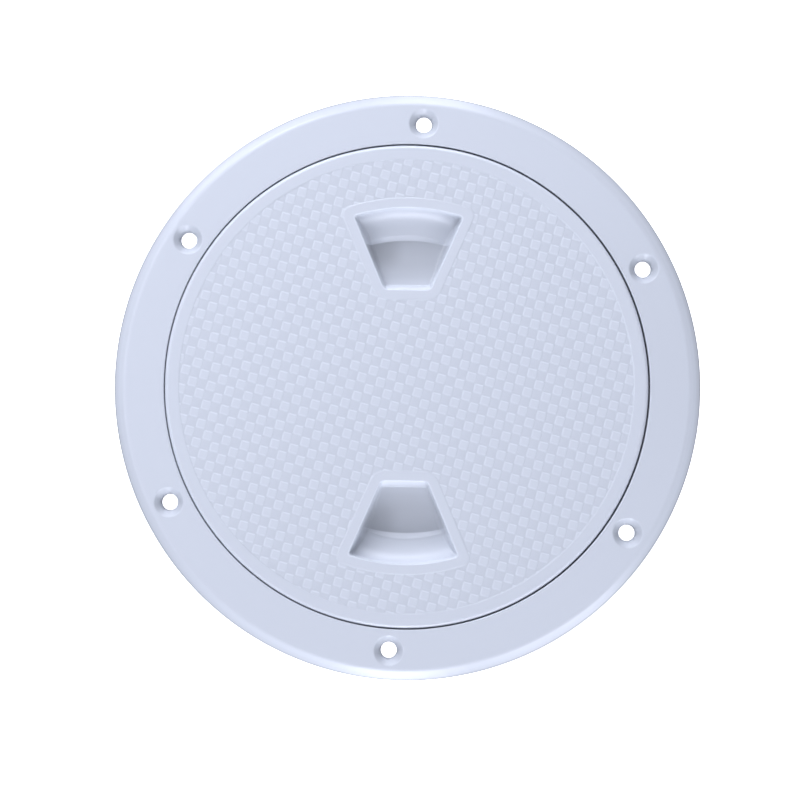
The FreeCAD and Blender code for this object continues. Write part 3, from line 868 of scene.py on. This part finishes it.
# soft lights round the plate: azimuth and elevation in degrees, then size in
# metres and power in watts as if from 1.5 m away, and the real distance, to
# which both are scaled.  The strongest come in low from above and below the
# picture, almost nothing from its right.
NEAR, MID, FAR = 1.05, 1.5, 2.2
LIGHTS = [
    (45, 3, 0.5, 0.4, MID), (90, 3, 0.5, 2.2, NEAR), (135, 3, 0.5, 1.6, NEAR), (180, 3, 0.5, 0.4, NEAR),
    (270, 3, 0.5, 4.8, MID), (315, 3, 0.5, 4.2, FAR),
    (60, 19, 0.6, 0.9, MID), (90, 19, 0.6, 3.4, NEAR), (120, 19, 0.6, 4.4, NEAR), (270, 19, 0.6, 4.3, MID),
    (300, 19, 0.6, 3.6, FAR),
    (90, 30, 0.7, 1.6, NEAR), (120, 30, 0.7, 3.1, NEAR), (150, 30, 0.7, 2.6, NEAR), (180, 30, 0.7, 0.9, NEAR),
    (240, 30, 0.7, 0.6, MID), (270, 30, 0.7, 2.7, MID), (300, 30, 0.7, 1.6, FAR),
    (120, 55, 0.9, 1.9, NEAR), (180, 55, 0.9, 1.6, NEAR), (0, 82, 0.7, 0.4, MID),
]
POWER = 1.04
WORLD = 0.27
COOL = (0.967, 1.0, 1.135)    # tint of all the light


# ---- studio ----------------------------------------------------------------------------
def floor():
    me = bpy.data.meshes.new("floor")
    h, z = 6.0, -0.0191
    me.from_pydata([(-h, -h, z), (h, -h, z), (h, h, z), (-h, h, z)], [], [(0, 1, 2, 3)])
    ob = bpy.data.objects.new("floor", me)
    bpy.context.scene.collection.objects.link(ob)
    m = bpy.data.materials.new("floor_white")
    m.use_nodes = True
    b = m.node_tree.nodes["Principled BSDF"]
    b.inputs["Base Color"].default_value = (0.9, 0.9, 0.9, 1)
    b.inputs["Roughness"].default_value = 0.9
    socket(b, "Emission Color").default_value = (1, 1, 1, 1)
    socket(b, "Emission Strength").default_value = 1.2
    me.materials.append(m)
    # the floor shows as plain white and throws no light up at the plate
    ob.visible_diffuse = False
    ob.visible_glossy = False
    ob.visible_shadow = False
    return ob


floor()

world = bpy.data.worlds.new("tent")
bpy.context.scene.world = world
world.use_nodes = True
bg = world.node_tree.nodes["Background"]
bg.inputs["Color"].default_value = (*COOL, 1)
bg.inputs["Strength"].default_value = WORLD


def softbox(az, el, size, power, distance):
    """Round soft light in the direction az, el, facing the plate."""
    a, e = math.radians(az), math.radians(el)
    d = Vector((math.cos(e) * math.cos(a), math.cos(e) * math.sin(a), math.sin(e)))
    k = distance / 1.5
    name = "soft_%d_%d" % (az, el)
    li = bpy.data.lights.new(name, "AREA")
    li.shape = "DISK"
    li.size = size * k
    li.energy = power * k * k * POWER
    li.color = COOL
    ob = bpy.data.objects.new(name, li)
    bpy.context.scene.collection.objects.link(ob)
    ob.location = d * distance
    ob.rotation_euler = d.to_track_quat("Z", "Y").to_euler()
    ob.visible_camera = False
    return ob


for az, el, size, power, distance in LIGHTS:
    softbox(az, el, size, power, distance)

# ---- camera: nearly straight down, as in the photograph ---------------------------------
cam = bpy.data.cameras.new("camera")
cam.sensor_width = 36.0
cam.lens = 1841.0 / 800.0 * 36.0
cam.clip_start, cam.clip_end = 0.05, 50.0
cam_ob = bpy.data.objects.new("camera", cam)
bpy.context.scene.collection.objects.link(cam_ob)
rx, ry, rz = (math.radians(v) for v in (2.83, 1.35, 3.84))
rot = Matrix.Rotation(rz, 4, "Z") @ Matrix.Rotation(ry, 4, "Y") @ Matrix.Rotation(rx, 4, "X")
rot = rot @ Matrix.Rotation(math.radians(0.0187), 4, "Y") @ Matrix.Rotation(math.radians(0.0202), 4, "X")
cam_ob.matrix_world = Matrix.Translation(Vector((15.5, -35.9, 640.9)) * MM) @ rot
bpy.context.scene.camera = cam_ob

bpy.context.scene.view_settings.view_transform = "Standard"
bpy.context.scene.view_settings.look = "None"
